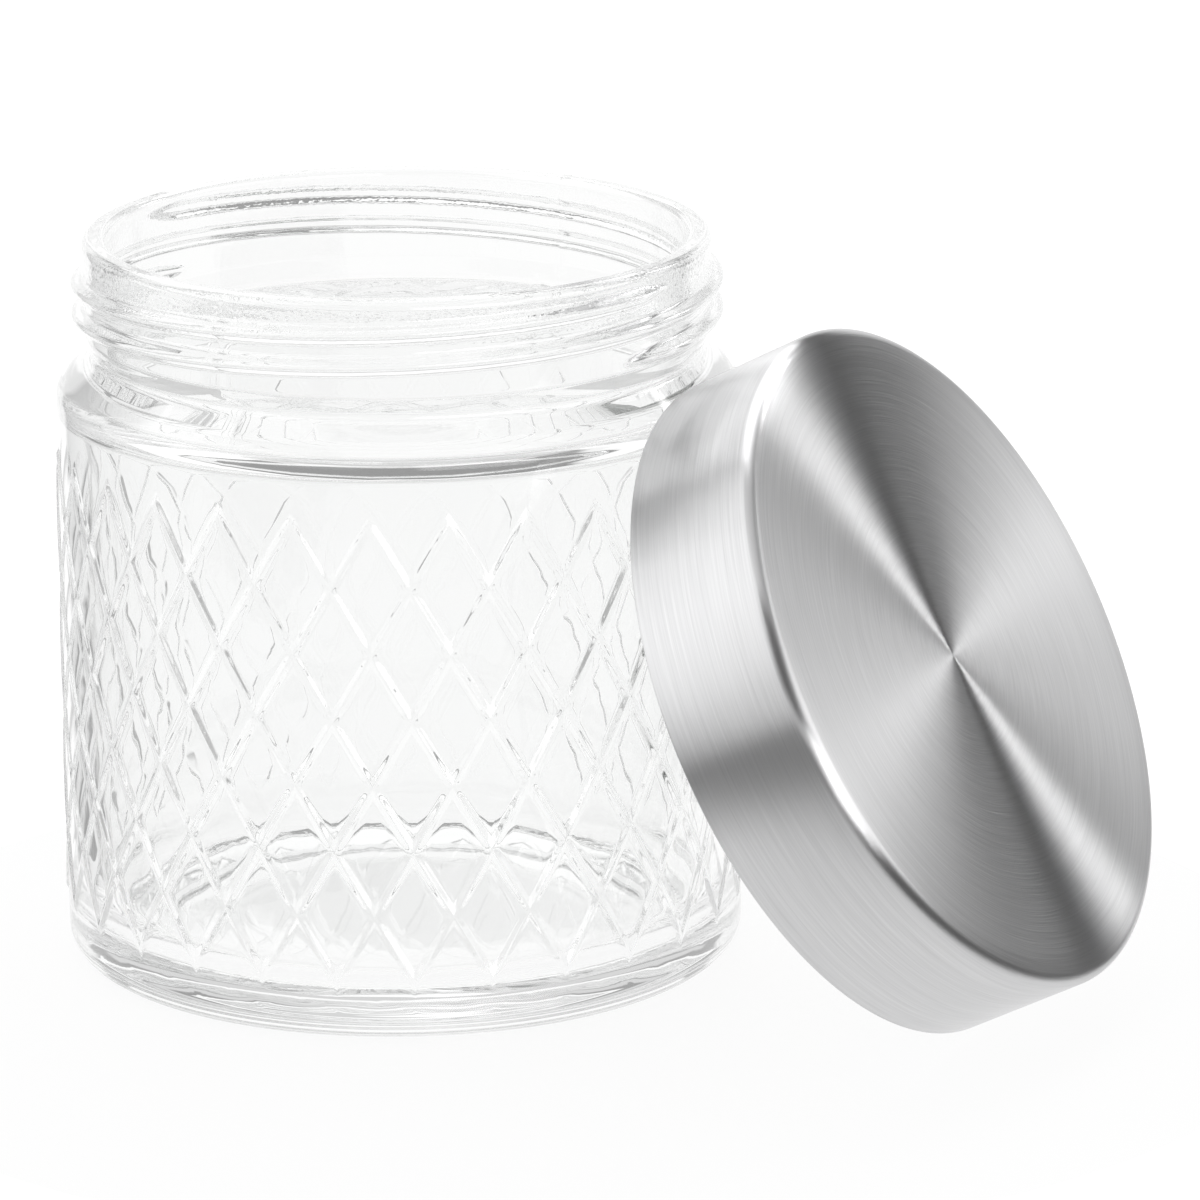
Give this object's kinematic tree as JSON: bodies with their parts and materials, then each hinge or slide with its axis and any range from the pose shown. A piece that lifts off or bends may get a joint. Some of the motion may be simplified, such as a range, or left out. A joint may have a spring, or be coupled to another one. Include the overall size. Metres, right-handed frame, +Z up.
{
  "type": "storage jar with screw lid",
  "caption": "Squat clear glass storage jar with a diamond lattice of raised ribs and a wide screw neck, with its brushed steel screw lid off and leaning on the shoulder.",
  "frame": {"origin": "on the jar's axis, at the level of the table that its bearing ring stands on, just below the recessed base panel", "axes": "+Z up along the jar's axis, +X to the picture's right, toward the leaning lid, -Y toward the camera"},
  "size_m": [0.145, 0.1236, 0.0977],
  "materials": {
    "clear_glass": "clear pressed glass, fire-polished",
    "brushed_steel": "spun-brushed in circles about the lid's axis",
    "white_plastic": "moulded, satin",
    "clear_silicone": "soft translucent, satin"
  },
  "bodies": {
    "jar": {"glass_jar": "clear_glass"},
    "lid": {"lid_shell": "brushed_steel", "lid_liner": "white_plastic"},
    "seal": {"lid_gasket": "clear_silicone"}
  },
  "joints": [
    {"name": "lid_lift", "type": "slide", "parent": "jar", "child": "lid", "axis": [0.7867, -0.4026, 0.4679], "range_m": [0, 0.12]},
    {"name": "seal_turn", "type": "hinge", "parent": "lid", "child": "seal", "pos_m": [0.05672, -0.02902, 0.04042], "axis": [0.7867, -0.4026, 0.4679], "continuous": true}
  ]
}
